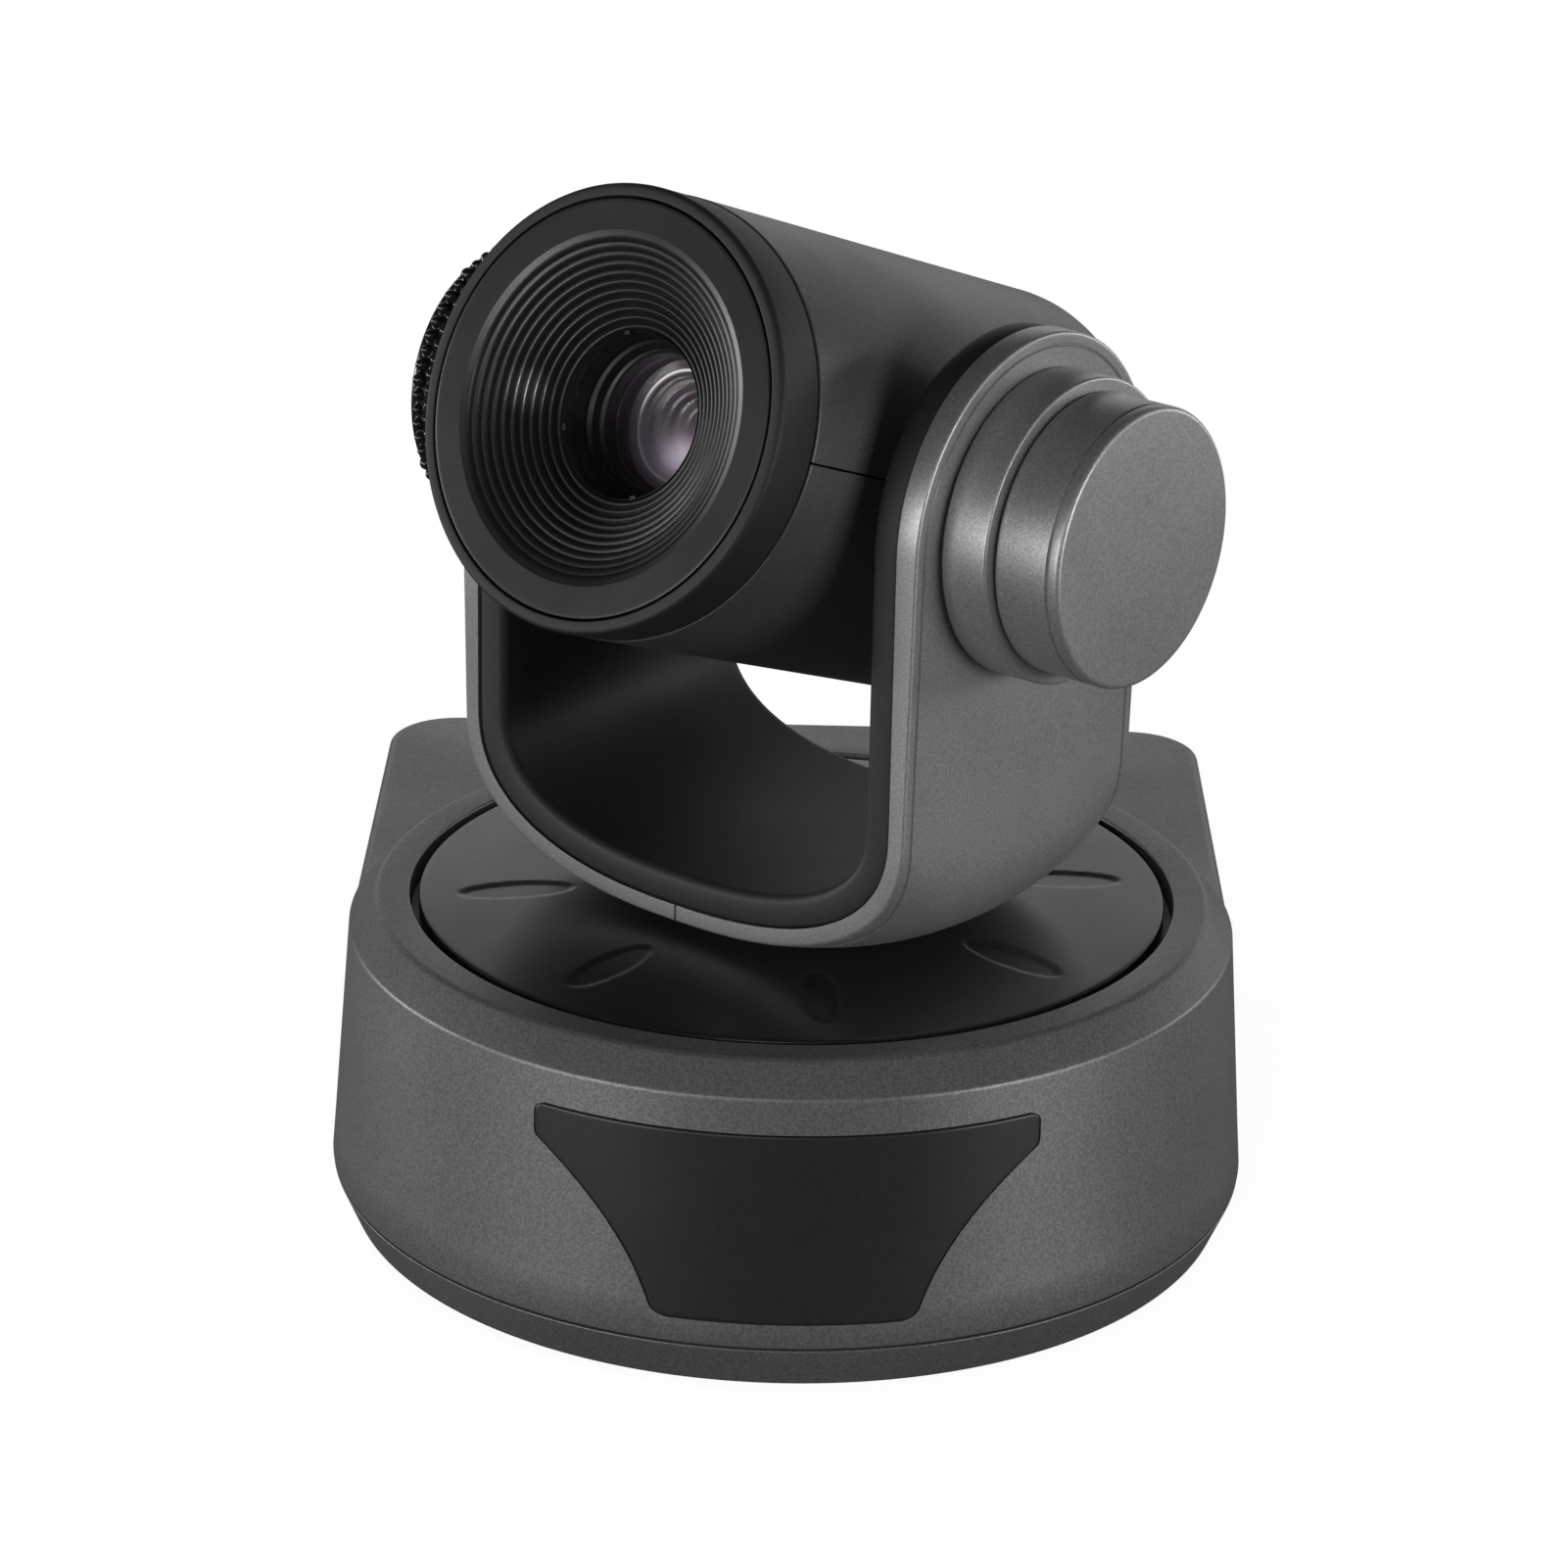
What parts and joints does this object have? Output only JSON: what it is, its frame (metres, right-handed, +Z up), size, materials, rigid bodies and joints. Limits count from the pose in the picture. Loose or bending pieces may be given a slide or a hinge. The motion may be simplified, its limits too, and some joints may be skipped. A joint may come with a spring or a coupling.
{
  "type": "desktop pan-tilt-zoom camera",
  "caption": "Pan-tilt-zoom video camera: tubular lens head tilting in a U-shaped fork that turns on a round-fronted base with a dark window.",
  "frame": {"origin": "the point on the supporting surface right under the pan axis, in the middle of the round rubber pad", "axes": "+Z up along the pan axis; -Y is the way the base's front window looks; +X to the right of someone facing the front"},
  "size_m": [0.128, 0.1423, 0.1521],
  "materials": {
    "grey_paint": "satin metallic grey paint with a fine grain",
    "black_plastic": "satin black moulded plastic",
    "window_plastic": "glossy dark tinted plastic",
    "rubber": "matte black rubber",
    "bright_steel": "turned steel",
    "sheet_metal": "bare aluminium",
    "brass": "machined brass",
    "circuit_board": "green solder mask",
    "coated_glass": "polished glass with a purple coating"
  },
  "bodies": {
    "base": {"base_shell": "grey_paint", "bottom_cover": "grey_paint", "rubber_pad": "rubber", "tripod_bush": "brass", "ir_window": "window_plastic", "indicator_board": "circuit_board", "rear_panel": "black_plastic", "dc_jack": "sheet_metal", "usb_port": "sheet_metal", "serial_port_in": "sheet_metal", "serial_port_out": "sheet_metal", "main_board": "circuit_board", "bearing_carrier": "sheet_metal", "pan_bearing": "bright_steel", "pan_motor": "bright_steel", "motor_bracket": "sheet_metal", "pan_belt": "rubber", "case_screw_1": "bright_steel", "case_screw_2": "bright_steel", "case_screw_3": "bright_steel", "case_screw_4": "bright_steel"},
    "motor_pulley": {"pan_motor_pulley": "bright_steel"},
    "fork": {"turntable_disc": "black_plastic", "pan_shaft": "bright_steel", "pan_pulley": "black_plastic", "fork_shell_left": "grey_paint", "fork_shell_right": "grey_paint", "fork_liner": "black_plastic", "fork_frame": "sheet_metal", "hub_base_right": "grey_paint", "hub_cap_right": "grey_paint", "hub_base_left": "black_plastic", "hub_cap_left": "black_plastic", "tilt_motor": "bright_steel", "tilt_bearing_left": "bright_steel", "tilt_bearing_right": "bright_steel"},
    "head": {"head_shell_upper": "grey_paint", "head_shell_lower": "grey_paint", "lens_ring": "black_plastic", "lens_baffle": "black_plastic", "lens_barrel": "black_plastic", "front_lens": "coated_glass", "trunnion_left": "bright_steel", "trunnion_right": "bright_steel", "head_chassis": "sheet_metal", "sensor_board": "circuit_board", "zoom_motor": "bright_steel", "focus_motor": "bright_steel"},
    "zoom": {"zoom_group": "coated_glass"},
    "focus": {"focus_group": "coated_glass"}
  },
  "joints": [
    {"name": "pan", "type": "hinge", "parent": "base", "child": "fork", "pos_m": [0, 0, 0.045], "axis": [0, 0, 1], "range_deg": [-131, 209]},
    {"name": "pan_motor_turn", "type": "hinge", "parent": "base", "child": "motor_pulley", "pos_m": [0, 0.04, 0.034], "axis": [0, 0, 1], "range_deg": [-524, 836]},
    {"name": "tilt", "type": "hinge", "parent": "fork", "child": "head", "pos_m": [0, 0, 0.109], "axis": [-0.7771, 0.6293, 0], "range_deg": [-50.8, 69.2]},
    {"name": "zoom_travel", "type": "slide", "parent": "head", "child": "zoom", "axis": [-0.5883, -0.7265, 0.3551], "range_m": [-0.005, 0.005]},
    {"name": "focus_travel", "type": "slide", "parent": "head", "child": "focus", "axis": [-0.5883, -0.7265, 0.3551], "range_m": [-0.0025, 0.0025]}
  ],
  "couplings": [
    {"joint": "pan_motor_turn", "follows": "pan", "ratio": 4}
  ]
}
